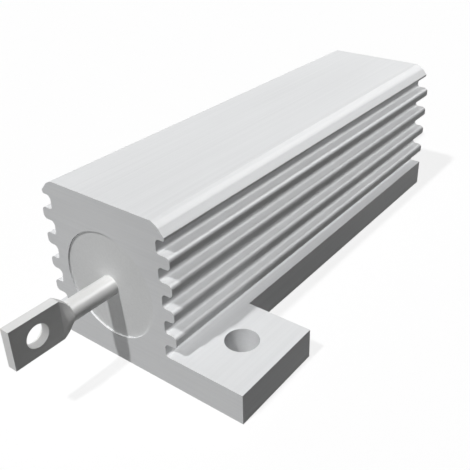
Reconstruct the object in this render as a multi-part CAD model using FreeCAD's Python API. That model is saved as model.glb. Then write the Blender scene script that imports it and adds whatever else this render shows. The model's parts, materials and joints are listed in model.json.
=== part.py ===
import FreeCAD
import Part
import math
import os

# Aluminium housed wirewound resistor for chassis mounting, in the 50 W size.
# Millimetres. +Z is up from the mounting face, Y runs along the extrusion, and the origin is the
# centre of the mounting face. The end at -Y is the front. The resistor looks the same when it is
# turned half round about Z, so rear pieces are the front ones turned.

# Housing: one aluminium extrusion, milled at the flange so that two tabs are left, and bored through
body_length = 51.0
body_height = 17.0
body_width = 15.8
flange_width = 30.0
flange_thickness = 3.2
tab_length = 10.5
mounting_hole_diameter = 3.3
mounting_hole_spacing_across = 21.4
mounting_hole_spacing_along = 39.7
bore_diameter = 10.9
bore_axis_height = 8.2

# Cooling ribs on both sides of the extrusion, evenly spaced between the flange and the lip
rib_count = 4
rib_thickness = 1.25
rib_tip_radius = 0.45
groove_root_radius = 0.35
groove_roof_radius = 0.45
groove_floor_width = 13.0
waist_width = 13.3

# Crown: flat top, sloped shoulders and an undercut lip on each side, as drops from the top.
# The slope starts at a crisp crease beside the flat top and rolls over at the shoulder.
# The lip's tip is above its underside, and its short outer face slants in to the underside.
flat_top_width = 12.2
shoulder_width = 13.46
shoulder_drop = 0.28
shoulder_radius = 1.5
lip_width = 15.07
lip_drop = 1.2
lip_tip_radius = 0.12
lip_underside_width = 14.84
lip_underside_drop = 1.54
lip_underside_radius = 0.18

# Element: ceramic core with a pressed steel cap on each end and a resistance ribbon round it
core_length = 37.0
core_diameter = 6.8
cap_depth = 4.0
cap_wall = 0.4
cap_base_thickness = 0.5
cap_corner_chamfer = 0.3
ribbon_turns = 8
ribbon_width = 1.5
ribbon_thickness = 0.25
ribbon_clearance = 0.02
ribbon_end_inset = 1.4

# Terminals: a round pin with a flat welded head inside and a flattened solder lug outside
terminal_projection = 10.75
terminal_head_diameter = 4.0
terminal_head_thickness = 0.6
pin_diameter = 2.0
lug_length = 4.95
lug_width = 3.9
lug_thickness = 1.0
lug_shoulder_length = 1.0
lug_shoulder_swell = 0.14
lug_eye_diameter = 2.2
lug_eye_inset = 2.5

# Moulding: the silicone that fills the bore round the element, set back a little at each end
moulding_recess = 0.18

# Room that a cutting tool runs past the surface that it cuts
tool_overrun = 1.0

# Distance under which two points of an outline are one
same_point = 1e-6

front_end = -body_length / 2
lip_underside_height = body_height - lip_underside_drop
core_half_length = core_length / 2
cap_face = -(core_half_length + cap_base_thickness)
terminal_tip = front_end - terminal_projection
axis_along_body = FreeCAD.Vector(0, 1, 0)
axis_across_body = FreeCAD.Vector(1, 0, 0)


def on_axis(y):
    """The point of the bore's axis at a distance y along the body."""
    return FreeCAD.Vector(0, y, bore_axis_height)


def cylinder_along_body(diameter, start, end):
    """A cylinder on the bore's axis from start to end along Y."""
    return Part.makeCylinder(diameter / 2, end - start, on_axis(start), axis_along_body)


def turned_half_round(shape):
    """A copy of a front piece, turned half a turn about Z to be its rear twin."""
    twin = shape.copy()
    twin.rotate(FreeCAD.Vector(0, 0, 0), FreeCAD.Vector(0, 0, 1), 180)
    return twin


def rounded_outline(corners, y):
    """Closed wire across the body at y, through corners (across, up, radius) rounded by arcs."""
    points = [FreeCAD.Vector(across, y, up) for across, up, radius in corners]
    edges = []
    stops = []
    for index, corner in enumerate(points):
        radius = corners[index][2]
        back = points[index - 1] - corner
        ahead = points[(index + 1) % len(points)] - corner
        reach_limit = min(back.Length, ahead.Length) / 2
        back.normalize()
        ahead.normalize()
        half_angle = back.getAngle(ahead) / 2
        reach = min(radius / math.tan(half_angle), reach_limit)
        start = corner + back * reach
        end = corner + ahead * reach
        if reach > 0:
            centre_distance = reach / math.cos(half_angle)
            arc_radius = reach * math.tan(half_angle)
            bisector = (back + ahead).normalize()
            middle = corner + bisector * (centre_distance - arc_radius)
            edges.append(Part.Arc(start, middle, end).toShape())
        stops.append((start, end))
    for index, (start, end) in enumerate(stops):
        previous_end = stops[index - 1][1]
        if (start - previous_end).Length > same_point:
            edges.append(Part.makeLine(previous_end, start))
    return Part.Wire(Part.__sortEdges__(edges))


def groove_floor(height):
    """Distance from the middle of the body to a groove's floor: the wall is thicker by the bore."""
    beside_bore = abs(height - bore_axis_height) < bore_diameter / 4
    return waist_width / 2 if beside_bore else groove_floor_width / 2


def side_corners():
    """Corners (across, up, radius) of the right side of the section, from the base to the top."""
    half_body = body_width / 2
    half_flange = flange_width / 2
    free_height = lip_underside_height - flange_thickness - rib_count * rib_thickness
    groove_width = free_height / (rib_count + 1)
    corners = [(half_flange, 0, 0), (half_flange, flange_thickness, 0)]
    for groove in range(rib_count + 1):
        low = flange_thickness + groove * (groove_width + rib_thickness)
        high = low + groove_width
        floor = groove_floor((low + high) / 2)
        corners.append((floor, low, groove_root_radius))
        corners.append((floor, high, groove_roof_radius))
        if groove < rib_count:
            corners.append((half_body, high, rib_tip_radius))
            corners.append((half_body, high + rib_thickness, rib_tip_radius))
    corners.append((lip_underside_width / 2, lip_underside_height, lip_underside_radius))
    corners.append((lip_width / 2, body_height - lip_drop, lip_tip_radius))
    corners.append((shoulder_width / 2, body_height - shoulder_drop, shoulder_radius))
    corners.append((flat_top_width / 2, body_height, 0))
    return corners


def flange_cut():
    """What is milled off the right side of the flange behind the front tab."""
    start = front_end + tab_length
    inner = body_width / 2
    width = flange_width / 2 - inner + tool_overrun
    length = body_length - tab_length + tool_overrun
    height = flange_thickness + 2 * tool_overrun
    return Part.makeBox(width, length, height, FreeCAD.Vector(inner, start, -tool_overrun))


def mounting_hole():
    """The drill for the hole in the front tab."""
    across = mounting_hole_spacing_across / 2
    along = -mounting_hole_spacing_along / 2
    depth = flange_thickness + 2 * tool_overrun
    start = FreeCAD.Vector(across, along, -tool_overrun)
    return Part.makeCylinder(mounting_hole_diameter / 2, depth, start)


def make_housing():
    """The ribbed extrusion with its bore, its two diagonal tabs and their holes."""
    right = side_corners()
    left = [(-across, up, radius) for across, up, radius in reversed(right)]
    section = Part.Face(rounded_outline(right + left, front_end))
    bore = cylinder_along_body(bore_diameter, front_end - tool_overrun, tool_overrun - front_end)
    housing = section.extrude(axis_along_body * body_length).cut(bore)
    for tool in (flange_cut(), mounting_hole()):
        housing = housing.cut(tool)
        housing = housing.cut(turned_half_round(tool))
    return housing


def make_core():
    """Ceramic rod with a reduced seat at each end, so that the caps lie flush with the rod."""
    seat_diameter = core_diameter - 2 * cap_wall
    seats = cylinder_along_body(seat_diameter, -core_half_length, core_half_length)
    rod = cylinder_along_body(core_diameter, -core_half_length + cap_depth, core_half_length - cap_depth)
    return seats.fuse(rod).removeSplitter()


def make_front_cap():
    """Pressed steel cup over the front end of the core."""
    rim = -core_half_length + cap_depth
    cup = cylinder_along_body(core_diameter, cap_face, rim)
    face_edges = [edge for edge in cup.Edges if edge.Closed and edge.CenterOfMass.y < cap_face + cap_wall]
    cup = cup.makeChamfer(cap_corner_chamfer, face_edges)
    hollow = cylinder_along_body(core_diameter - 2 * cap_wall, -core_half_length, rim + tool_overrun)
    return cup.cut(hollow)


def make_winding():
    """One resistance ribbon wound on the core, with its ends lying on the two caps."""
    inner_radius = core_diameter / 2 + ribbon_clearance
    outer_radius = inner_radius + ribbon_thickness
    half_width = ribbon_width / 2
    wound_length = core_length - 2 * ribbon_end_inset - ribbon_width
    helix = Part.makeHelix(wound_length / ribbon_turns, wound_length, inner_radius)
    section = Part.makePolygon([
        FreeCAD.Vector(inner_radius, 0, -half_width),
        FreeCAD.Vector(outer_radius, 0, -half_width),
        FreeCAD.Vector(outer_radius, 0, half_width),
        FreeCAD.Vector(inner_radius, 0, half_width),
        FreeCAD.Vector(inner_radius, 0, -half_width),
    ])
    winding = Part.Wire(helix.Edges).makePipeShell([section], True, True)
    winding.rotate(FreeCAD.Vector(0, 0, 0), axis_across_body, -90)
    winding.translate(on_axis(-wound_length / 2))
    return winding


def lug_section(y, corner, side):
    """Four-sided wire round the pin's axis: corners at corner (x, z), sides bowed out to side (x, z)."""
    corner_x, corner_z = corner
    side_x, side_z = side
    turns = (
        ((corner_x, -corner_z), (side_x, 0), (corner_x, corner_z)),
        ((corner_x, corner_z), (0, side_z), (-corner_x, corner_z)),
        ((-corner_x, corner_z), (-side_x, 0), (-corner_x, -corner_z)),
        ((-corner_x, -corner_z), (0, -side_z), (corner_x, -corner_z)),
    )
    edges = []
    for stops in turns:
        start, middle, end = [on_axis(y) + FreeCAD.Vector(x, 0, z) for x, z in stops]
        straight = (start + end).distanceToPoint(middle * 2) < same_point
        edges.append(Part.makeLine(start, end) if straight else Part.Arc(start, middle, end).toShape())
    return Part.Wire(edges)


def lug_shoulder(lug_end, pin_end):
    """The short stretch where the round pin is pressed flat into the lug, a little swollen midway."""
    pin_radius = pin_diameter / 2
    pin_corner = pin_radius / math.sqrt(2)
    lug_corner = (lug_thickness / 2, lug_width / 2)
    middle_corner = (
        (pin_corner + lug_corner[0]) / 2,
        (pin_corner + lug_corner[1]) / 2 + lug_shoulder_swell,
    )
    middle_side = (
        (pin_radius + lug_corner[0]) / 2,
        (pin_radius + lug_corner[1]) / 2 + lug_shoulder_swell,
    )
    sections = [
        lug_section(lug_end, lug_corner, lug_corner),
        lug_section((lug_end + pin_end) / 2, middle_corner, middle_side),
        lug_section(pin_end, (pin_corner, pin_corner), (pin_radius, pin_radius)),
    ]
    return Part.makeLoft(sections, True)


def make_front_terminal():
    """Welded head, round pin and flattened lug with its eye, in one piece."""
    lug_end = terminal_tip + lug_length
    pin_end = lug_end + lug_shoulder_length
    head_face = cap_face - terminal_head_thickness
    lug_corner = on_axis(terminal_tip) - FreeCAD.Vector(lug_thickness / 2, 0, lug_width / 2)
    lug = Part.makeBox(lug_thickness, lug_length, lug_width, lug_corner)
    punch_length = lug_thickness + 2 * tool_overrun
    punch_start = on_axis(terminal_tip + lug_eye_inset) - axis_across_body * (punch_length / 2)
    eye = Part.makeCylinder(lug_eye_diameter / 2, punch_length, punch_start, axis_across_body)
    pin = cylinder_along_body(pin_diameter, pin_end, cap_face)
    head = cylinder_along_body(terminal_head_diameter, head_face, cap_face)
    return lug.cut(eye).fuse([lug_shoulder(lug_end, pin_end), pin, head]).removeSplitter()


def make_moulding(element):
    """Silicone that fills the bore round every piece of the element."""
    start = front_end + moulding_recess
    return cylinder_along_body(bore_diameter, start, -start).cut(element)


front_cap = make_front_cap()
front_terminal = make_front_terminal()
pieces = {
    "ceramic_core": make_core(),
    "resistance_winding": make_winding(),
    "front_end_cap": front_cap,
    "rear_end_cap": turned_half_round(front_cap),
    "front_terminal": front_terminal,
    "rear_terminal": turned_half_round(front_terminal),
}
pieces["silicone_moulding"] = make_moulding(list(pieces.values()))
pieces["housing"] = make_housing()

os.makedirs("parts", exist_ok=True)
for node, shape in pieces.items():
    shape.exportStep("parts/" + node + ".step")
    print(node, "solids", len(shape.Solids), "volume", round(shape.Volume, 2), "valid", shape.isValid())
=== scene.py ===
import json
import math

import bpy
from mathutils import Matrix, Vector

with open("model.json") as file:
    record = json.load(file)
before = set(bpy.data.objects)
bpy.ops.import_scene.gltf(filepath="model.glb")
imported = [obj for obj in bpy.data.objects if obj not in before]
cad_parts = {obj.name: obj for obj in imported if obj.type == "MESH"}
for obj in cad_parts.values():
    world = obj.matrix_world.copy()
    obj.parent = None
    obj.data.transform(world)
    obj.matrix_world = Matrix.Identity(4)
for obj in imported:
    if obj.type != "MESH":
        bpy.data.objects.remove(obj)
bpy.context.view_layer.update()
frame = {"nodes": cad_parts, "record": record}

MM = 0.001

# Camera, found from the edges of the body in a picture of 470 by 470 pixels
PICTURE_SIZE = 470
PICTURE_CENTRE = (256, 205)
FOCAL_LENGTH_PIXELS = 675.0
SENSOR_MM = 36.0
CAMERA_PLACE_MM = (40.611, -58.081, 43.563)
CAMERA_FORWARD = (-0.52104, 0.70825, -0.47635)
CAMERA_UP = (-0.27133, 0.3917, 0.87918)

# Lamps: direction to each, as seen from the part, with its strength and its width in degrees
KEY_DIRECTION = (-0.1, -0.68, 1.0)
KEY_STRENGTH = 1.92
KEY_WIDTH = 2.5
TOP_DIRECTION = (0.07, -0.27, 0.96)
TOP_STRENGTH = 1.65
TOP_WIDTH = 15
BACK_DIRECTION = (0.09, 0.71, 0.7)
BACK_STRENGTH = 1.2
BACK_WIDTH = 40
FRONT_DIRECTION = (0.0, -1.0, 0.1)
FRONT_STRENGTH = 0.27
FRONT_WIDTH = 15
SIDE_DIRECTION = (-0.8, 0.6, 0.15)
SIDE_STRENGTH = 0.5
SIDE_WIDTH = 40
SHEEN_DIRECTION = (0.4, 0.63, 0.62)
SHEEN_STRENGTH = 2.6
SHEEN_WIDTH = 30

# The floor lies a hair below the base, so that the two never share a plane
FLOOR_SIZE = 3.0
FLOOR_GAP_MM = 0.05

# Tones of the floor, as shares of white: its own glow, its paint under the lamps, and what it bounces
FLOOR_GLOW = 0.74
FLOOR_PAINT = 0.24
FLOOR_BOUNCE = 0.03
WHITE = (1.0, 1.0, 1.0, 1.0)

# Nearly all of a noise lies between these two values
NOISE_LOW = 0.2
NOISE_HIGH = 0.8

# Layers of finer noise in a pattern: two for an even grain, three for a less even one
PLAIN_DETAIL = 2.0
RICH_DETAIL = 3.0

# A pattern that fills the whole way from its first colour to its second
WHOLE_TONE = (0.0, 1.0)

# The real sizes that the next comments give are typical of each finish, and weren't measured

# Anodised aluminium. Die lines and saw lines are 0.05 mm apart or less and etch pits are smaller
# still, so all three are drawn coarser than they are, to show. The clouds are at their real size.
# The tones of lines and clouds are added up: 0 gives the first colour and 1 the second.
DIE_LINE_MM = 0.3
DIE_LINE_STRETCH = (1, 0.01, 1)
LINE_TONE = (-0.6, 0.6)
SAW_LINE_MM = 0.25
SAW_LINE_STRETCH = (0.02, 1, 1)
ETCH_PIT_MM = 0.16
CLOUD_MM = 9.0
CLOUD_STRETCH = (1, 0.35, 1)
CLOUD_TONE = (-0.1, 1.1)
ALUMINIUM_COLOURS = ("D0D1D2", "D6D7D8")
ALUMINIUM_ROUGHNESS = (0.42, 0.52)

# Tinned copper. Drawing lines are 0.02 mm apart or so, drawn coarser to show. The mottling is at
# its real size. The renderer has a step in brightness at a roughness between 0.27 and 0.29, which
# would show as patches with hard edges, so the roughness doesn't go below that.
DRAWING_LINE_MM = 0.2
DRAWING_LINE_STRETCH = (1, 0.02, 1)
MOTTLE_MM = 0.6
MOTTLE_STRETCH = (1, 0.3, 1)
TIN_COLOURS = ("D3D3D2", "D7D7D6")
TIN_ROUGHNESS = (0.29, 0.34)

# Silicone compound. Its filler grit is about 0.05 mm, drawn coarser to show. The waves of its
# skin are at their real size.
FILLER_MM = 0.2
SKIN_MM = 1.5
SILICONE_COLOURS = ("CECFCF", "D5D6D6")
SILICONE_ROUGHNESS = (0.5, 0.6)

# Steatite. Its crystals are 0.05 mm or less, drawn coarser to show.
SPECKLE_MM = 0.3
STEATITE_COLOURS = ("DDD8CC", "E8E4DA")
STEATITE_ROUGHNESS = 0.6

# Resistance alloy, with stains of oxide at their real size
OXIDE_STAIN_MM = 0.8
ALLOY_COLOURS = ("8D8A85", "A5A29C")
ALLOY_ROUGHNESS = (0.35, 0.5)

# Stainless steel. Press marks are about 0.05 mm apart, drawn coarser to show.
PRESS_MARK_MM = 0.2
PRESS_MARK_STRETCH = (1, 0.05, 1)
STEEL_COLOURS = ("B4B4B3", "C2C2C1")
STEEL_ROUGHNESS = (0.28, 0.4)

# Relief of each skin: how strongly it shows, and its depth
METAL_RELIEF = {"Strength": 0.12, "Distance": 0.02 * MM}
SILICONE_RELIEF = {"Strength": 0.15, "Distance": 0.03 * MM}
STEATITE_RELIEF = {"Strength": 0.2, "Distance": 0.02 * MM}


def linear(hex_colour):
    """Linear RGBA of an sRGB hex colour such as D2D3D4, by the standard curve."""
    channels = [int(hex_colour[i:i + 2], 16) / 255 for i in (0, 2, 4)]
    return [c / 12.92 if c <= 0.04045 else ((c + 0.055) / 1.055) ** 2.4 for c in channels] + [1.0]


def grey(share):
    """A neutral colour, as a share of white."""
    return (share, share, share, 1.0)


def add_node(holder, kind, settings=None, links=None):
    """Adds a node to a material or world, with settings {name: value} and links {input: (node, output)}."""
    node = holder.node_tree.nodes.new(kind)
    for name, value in (settings or {}).items():
        if name in node.inputs:
            node.inputs[name].default_value = value
        else:
            setattr(node, name, value)
    for name, (source, output) in (links or {}).items():
        holder.node_tree.links.new(source.outputs[output], node.inputs[name])
    return node


def emptied(holder):
    """A material or world with no nodes yet."""
    holder.use_nodes = True
    holder.node_tree.nodes.clear()
    return holder


def grain(material, size_mm, stretch=(1, 1, 1), detail=PLAIN_DETAIL):
    """Noise in the piece's own coordinates with grains of size_mm, drawn out where stretch is under 1."""
    place = add_node(material, "ShaderNodeTexCoord")
    drawn = add_node(material, "ShaderNodeMapping", {"Scale": stretch}, {"Vector": (place, "Object")})
    settings = {"Scale": 1 / (size_mm * MM), "Detail": detail}
    return add_node(material, "ShaderNodeTexNoise", settings, {"Vector": (drawn, "Vector")})


def noise_to(limits):
    """Settings of a Map Range node that spreads a noise between two limits."""
    low, high = limits
    return {"From Min": NOISE_LOW, "From Max": NOISE_HIGH, "To Min": low, "To Max": high}


def blend_of(colours):
    """Settings of a colour mix between two hex colours."""
    first, second = colours
    return {"Color1": linear(first), "Color2": linear(second)}


def coloured_by(material, pattern, colours):
    """Colour that goes the whole way from the first of two hex colours to the second with a noise."""
    tone = add_node(material, "ShaderNodeMapRange", noise_to(WHOLE_TONE), {"Value": (pattern, "Fac")})
    return add_node(material, "ShaderNodeMixRGB", blend_of(colours), {"Fac": (tone, "Result")})


def finished(material, shader_settings, shader_links):
    """Closes a material with its shader and output."""
    shader = add_node(material, "ShaderNodeBsdfPrincipled", shader_settings, shader_links)
    add_node(material, "ShaderNodeOutputMaterial", links={"Surface": (shader, "BSDF")})
    return material


def anodised_aluminium():
    """Extruded aluminium, etched and clear anodised.

    The etch and the oxide film scatter the light, so it reads as a satin pale grey more than as bare
    metal, and has no metallic share. Faint die lines run along the extrusion, and the sawn ends have
    fine saw lines.
    """
    material = emptied(bpy.data.materials.new("anodised_aluminium"))
    die_lines = grain(material, DIE_LINE_MM, DIE_LINE_STRETCH, RICH_DETAIL)
    saw_lines = grain(material, SAW_LINE_MM, SAW_LINE_STRETCH)
    etch = grain(material, ETCH_PIT_MM)
    clouding = grain(material, CLOUD_MM, CLOUD_STRETCH, RICH_DETAIL)
    # A sawn face is one that looks along the extrusion
    surface = add_node(material, "ShaderNodeNewGeometry")
    facing = add_node(material, "ShaderNodeSeparateXYZ", links={"Vector": (surface, "Normal")})
    sawn = add_node(material, "ShaderNodeMath", {"operation": "ABSOLUTE"}, {0: (facing, "Y")})
    lines = add_node(material, "ShaderNodeMixRGB", links={
        "Fac": (sawn, "Value"),
        "Color1": (die_lines, "Fac"),
        "Color2": (saw_lines, "Fac"),
    })
    line_tone = add_node(material, "ShaderNodeMapRange", noise_to(LINE_TONE), {"Value": (lines, "Color")})
    cloud_tone = add_node(material, "ShaderNodeMapRange", noise_to(CLOUD_TONE), {"Value": (clouding, "Fac")})
    tone = add_node(material, "ShaderNodeMath", {"operation": "ADD"},
                    {0: (line_tone, "Result"), 1: (cloud_tone, "Result")})
    colour = add_node(material, "ShaderNodeMixRGB", blend_of(ALUMINIUM_COLOURS), {"Fac": (tone, "Value")})
    roughness = add_node(material, "ShaderNodeMapRange", noise_to(ALUMINIUM_ROUGHNESS),
                         {"Value": (clouding, "Fac")})
    relief = add_node(material, "ShaderNodeMath", {"operation": "ADD"},
                      {0: (lines, "Color"), 1: (etch, "Fac")})
    bump = add_node(material, "ShaderNodeBump", METAL_RELIEF, {"Height": (relief, "Value")})
    return finished(material, {"Metallic": 0.0}, {
        "Base Color": (colour, "Color"),
        "Roughness": (roughness, "Result"),
        "Normal": (bump, "Normal"),
    })


def tinned_copper():
    """Copper-clad steel, drawn, pressed flat at the lug and hot tinned.

    The dull tin skin is a little whiter and glossier than the housing and, like it, has no metallic
    share. It has faint drawing lines and soft mottling.
    """
    material = emptied(bpy.data.materials.new("tinned_copper"))
    drawing_lines = grain(material, DRAWING_LINE_MM, DRAWING_LINE_STRETCH)
    mottling = grain(material, MOTTLE_MM, MOTTLE_STRETCH, RICH_DETAIL)
    colour = coloured_by(material, mottling, TIN_COLOURS)
    roughness = add_node(material, "ShaderNodeMapRange", noise_to(TIN_ROUGHNESS),
                         {"Value": (mottling, "Fac")})
    bump = add_node(material, "ShaderNodeBump", METAL_RELIEF, {"Height": (drawing_lines, "Fac")})
    return finished(material, {"Metallic": 0.0}, {
        "Base Color": (colour, "Color"),
        "Roughness": (roughness, "Result"),
        "Normal": (bump, "Normal"),
    })


def silicone_compound():
    """Filled grey silicone, moulded in place and cured: matt, with a fine speckle of mineral filler."""
    material = emptied(bpy.data.materials.new("silicone_compound"))
    filler = grain(material, FILLER_MM)
    skin = grain(material, SKIN_MM, detail=RICH_DETAIL)
    colour = coloured_by(material, filler, SILICONE_COLOURS)
    roughness = add_node(material, "ShaderNodeMapRange", noise_to(SILICONE_ROUGHNESS),
                         {"Value": (skin, "Fac")})
    relief = add_node(material, "ShaderNodeMath", {"operation": "ADD"},
                      {0: (filler, "Fac"), 1: (skin, "Fac")})
    bump = add_node(material, "ShaderNodeBump", SILICONE_RELIEF, {"Height": (relief, "Value")})
    return finished(material, {}, {
        "Base Color": (colour, "Color"),
        "Roughness": (roughness, "Result"),
        "Normal": (bump, "Normal"),
    })


def steatite():
    """Fired and ground steatite: a warm off-white unglazed ceramic with a fine speckle."""
    material = emptied(bpy.data.materials.new("steatite"))
    speckle = grain(material, SPECKLE_MM)
    colour = coloured_by(material, speckle, STEATITE_COLOURS)
    bump = add_node(material, "ShaderNodeBump", STEATITE_RELIEF, {"Height": (speckle, "Fac")})
    return finished(material, {"Roughness": STEATITE_ROUGHNESS}, {
        "Base Color": (colour, "Color"),
        "Normal": (bump, "Normal"),
    })


def resistance_alloy():
    """Nickel-chrome ribbon, drawn and rolled: a dull warm grey metal with a thin oxide."""
    material = emptied(bpy.data.materials.new("resistance_alloy"))
    oxide = grain(material, OXIDE_STAIN_MM, detail=RICH_DETAIL)
    colour = coloured_by(material, oxide, ALLOY_COLOURS)
    roughness = add_node(material, "ShaderNodeMapRange", noise_to(ALLOY_ROUGHNESS), {"Value": (oxide, "Fac")})
    return finished(material, {"Metallic": 1.0}, {
        "Base Color": (colour, "Color"),
        "Roughness": (roughness, "Result"),
    })


def stainless_steel():
    """Stainless steel strip pressed into cups: clean satin metal with press marks along the wall."""
    material = emptied(bpy.data.materials.new("stainless_steel"))
    press_marks = grain(material, PRESS_MARK_MM, PRESS_MARK_STRETCH)
    colour = coloured_by(material, press_marks, STEEL_COLOURS)
    roughness = add_node(material, "ShaderNodeMapRange", noise_to(STEEL_ROUGHNESS),
                         {"Value": (press_marks, "Fac")})
    return finished(material, {"Metallic": 1.0}, {
        "Base Color": (colour, "Color"),
        "Roughness": (roughness, "Result"),
    })


def dress_nodes():
    """Gives each piece of the part the material of its slot in the record."""
    finishes = {
        "anodised_aluminium": anodised_aluminium(),
        "silicone_compound": silicone_compound(),
        "steatite": steatite(),
        "resistance_alloy": resistance_alloy(),
        "stainless_steel": stainless_steel(),
        "tinned_copper": tinned_copper(),
    }
    for piece in frame["record"]["subparts"]:
        mesh = frame["nodes"][piece["node"]].data
        mesh.materials.clear()
        mesh.materials.append(finishes[piece["material_slot"]])


def seen_directly(holder):
    """Value of 1 for rays from the camera, from a reflection or through glass, and 0 for bounced light."""
    rays = add_node(holder, "ShaderNodeLightPath")
    seen = add_node(holder, "ShaderNodeMath", {"operation": "MAXIMUM"},
                    {0: (rays, "Is Camera Ray"), 1: (rays, "Is Glossy Ray")})
    return add_node(holder, "ShaderNodeMath", {"operation": "MAXIMUM"},
                    {0: (seen, "Value"), 1: (rays, "Is Transmission Ray")})


def floor_paint():
    """Pale paint: near white with the part's shadow, dim as a source of light, and clear from below."""
    material = emptied(bpy.data.materials.new("floor"))
    dim = add_node(material, "ShaderNodeBsdfDiffuse", {"Color": grey(FLOOR_BOUNCE)})
    pale = add_node(material, "ShaderNodeBsdfDiffuse", {"Color": grey(FLOOR_PAINT)})
    glow = add_node(material, "ShaderNodeEmission", {"Color": WHITE, "Strength": FLOOR_GLOW})
    lit = add_node(material, "ShaderNodeAddShader", links={0: (pale, "BSDF"), 1: (glow, "Emission")})
    from_above = add_node(material, "ShaderNodeMixShader",
                          links={0: (seen_directly(material), "Value"), 1: (dim, "BSDF"), 2: (lit, "Shader")})
    surface = add_node(material, "ShaderNodeNewGeometry")
    clear = add_node(material, "ShaderNodeBsdfTransparent")
    one_sided = add_node(material, "ShaderNodeMixShader",
                         links={0: (surface, "Backfacing"), 1: (from_above, "Shader"), 2: (clear, "BSDF")})
    add_node(material, "ShaderNodeOutputMaterial", links={"Surface": (one_sided, "Shader")})
    return material


def add_floor():
    """A plain pale floor under the part."""
    bpy.ops.object.select_all(action="DESELECT")
    bpy.ops.mesh.primitive_plane_add(size=FLOOR_SIZE, location=(0, 0, -FLOOR_GAP_MM * MM))
    floor = bpy.context.object
    floor.name = "floor"
    floor.data.materials.append(floor_paint())


def add_world():
    """White surroundings where they are seen, which add no light of their own."""
    world = emptied(bpy.data.worlds.new("studio"))
    dark = add_node(world, "ShaderNodeBackground", {"Color": WHITE, "Strength": 0.0})
    white = add_node(world, "ShaderNodeBackground", {"Color": WHITE, "Strength": 1.0})
    mix = add_node(world, "ShaderNodeMixShader", links={
        0: (seen_directly(world), "Value"),
        1: (dark, "Background"),
        2: (white, "Background"),
    })
    add_node(world, "ShaderNodeOutputWorld", links={"Surface": (mix, "Shader")})
    bpy.context.scene.world = world


def add_lamp(name, direction, strength, width, shadow):
    """A distant lamp in a direction from the part."""
    light = bpy.data.lights.new(name, "SUN")
    light.energy = strength
    light.angle = math.radians(width)
    light.use_shadow = shadow
    lamp = bpy.data.objects.new(name, light)
    lamp.rotation_euler = Vector(direction).to_track_quat("Z", "Y").to_euler()
    bpy.context.scene.collection.objects.link(lamp)
    return lamp


def add_lamps():
    """A crisp key lamp from the upper front, and soft lamps that cast no shadow."""
    add_lamp("key_lamp", KEY_DIRECTION, KEY_STRENGTH, KEY_WIDTH, True)
    add_lamp("top_lamp", TOP_DIRECTION, TOP_STRENGTH, TOP_WIDTH, False)
    add_lamp("front_lamp", FRONT_DIRECTION, FRONT_STRENGTH, FRONT_WIDTH, False)
    # The far side gets light too, with no highlight that would reach over the flat top
    side_lamp = add_lamp("side_lamp", SIDE_DIRECTION, SIDE_STRENGTH, SIDE_WIDTH, False)
    side_lamp.visible_glossy = False
    # These two show only as highlights, here a soft sheen on shoulders, rib tips and pins
    back_lamp = add_lamp("back_lamp", BACK_DIRECTION, BACK_STRENGTH, BACK_WIDTH, False)
    back_lamp.visible_diffuse = False
    sheen_lamp = add_lamp("sheen_lamp", SHEEN_DIRECTION, SHEEN_STRENGTH, SHEEN_WIDTH, False)
    sheen_lamp.visible_diffuse = False


def add_camera():
    """Camera at the picture's viewing angle."""
    settings = bpy.data.cameras.new("camera")
    camera = bpy.data.objects.new("camera", settings)
    bpy.context.scene.collection.objects.link(camera)
    forward = Vector(CAMERA_FORWARD).normalized()
    right = forward.cross(Vector(CAMERA_UP)).normalized()
    up = right.cross(forward)
    turn = Matrix((right, up, -forward)).transposed()
    camera.matrix_world = Matrix.Translation(Vector(CAMERA_PLACE_MM) * MM) @ turn.to_4x4()
    settings.sensor_width = SENSOR_MM
    settings.lens = FOCAL_LENGTH_PIXELS * SENSOR_MM / PICTURE_SIZE
    # The shift brings the middle of the view to its place in the picture
    settings.shift_x = 0.5 - PICTURE_CENTRE[0] / PICTURE_SIZE
    settings.shift_y = PICTURE_CENTRE[1] / PICTURE_SIZE - 0.5
    settings.clip_start = MM
    bpy.context.scene.camera = camera


dress_nodes()
add_floor()
add_world()
add_lamps()
add_camera()
bpy.context.scene.view_settings.view_transform = "Standard"
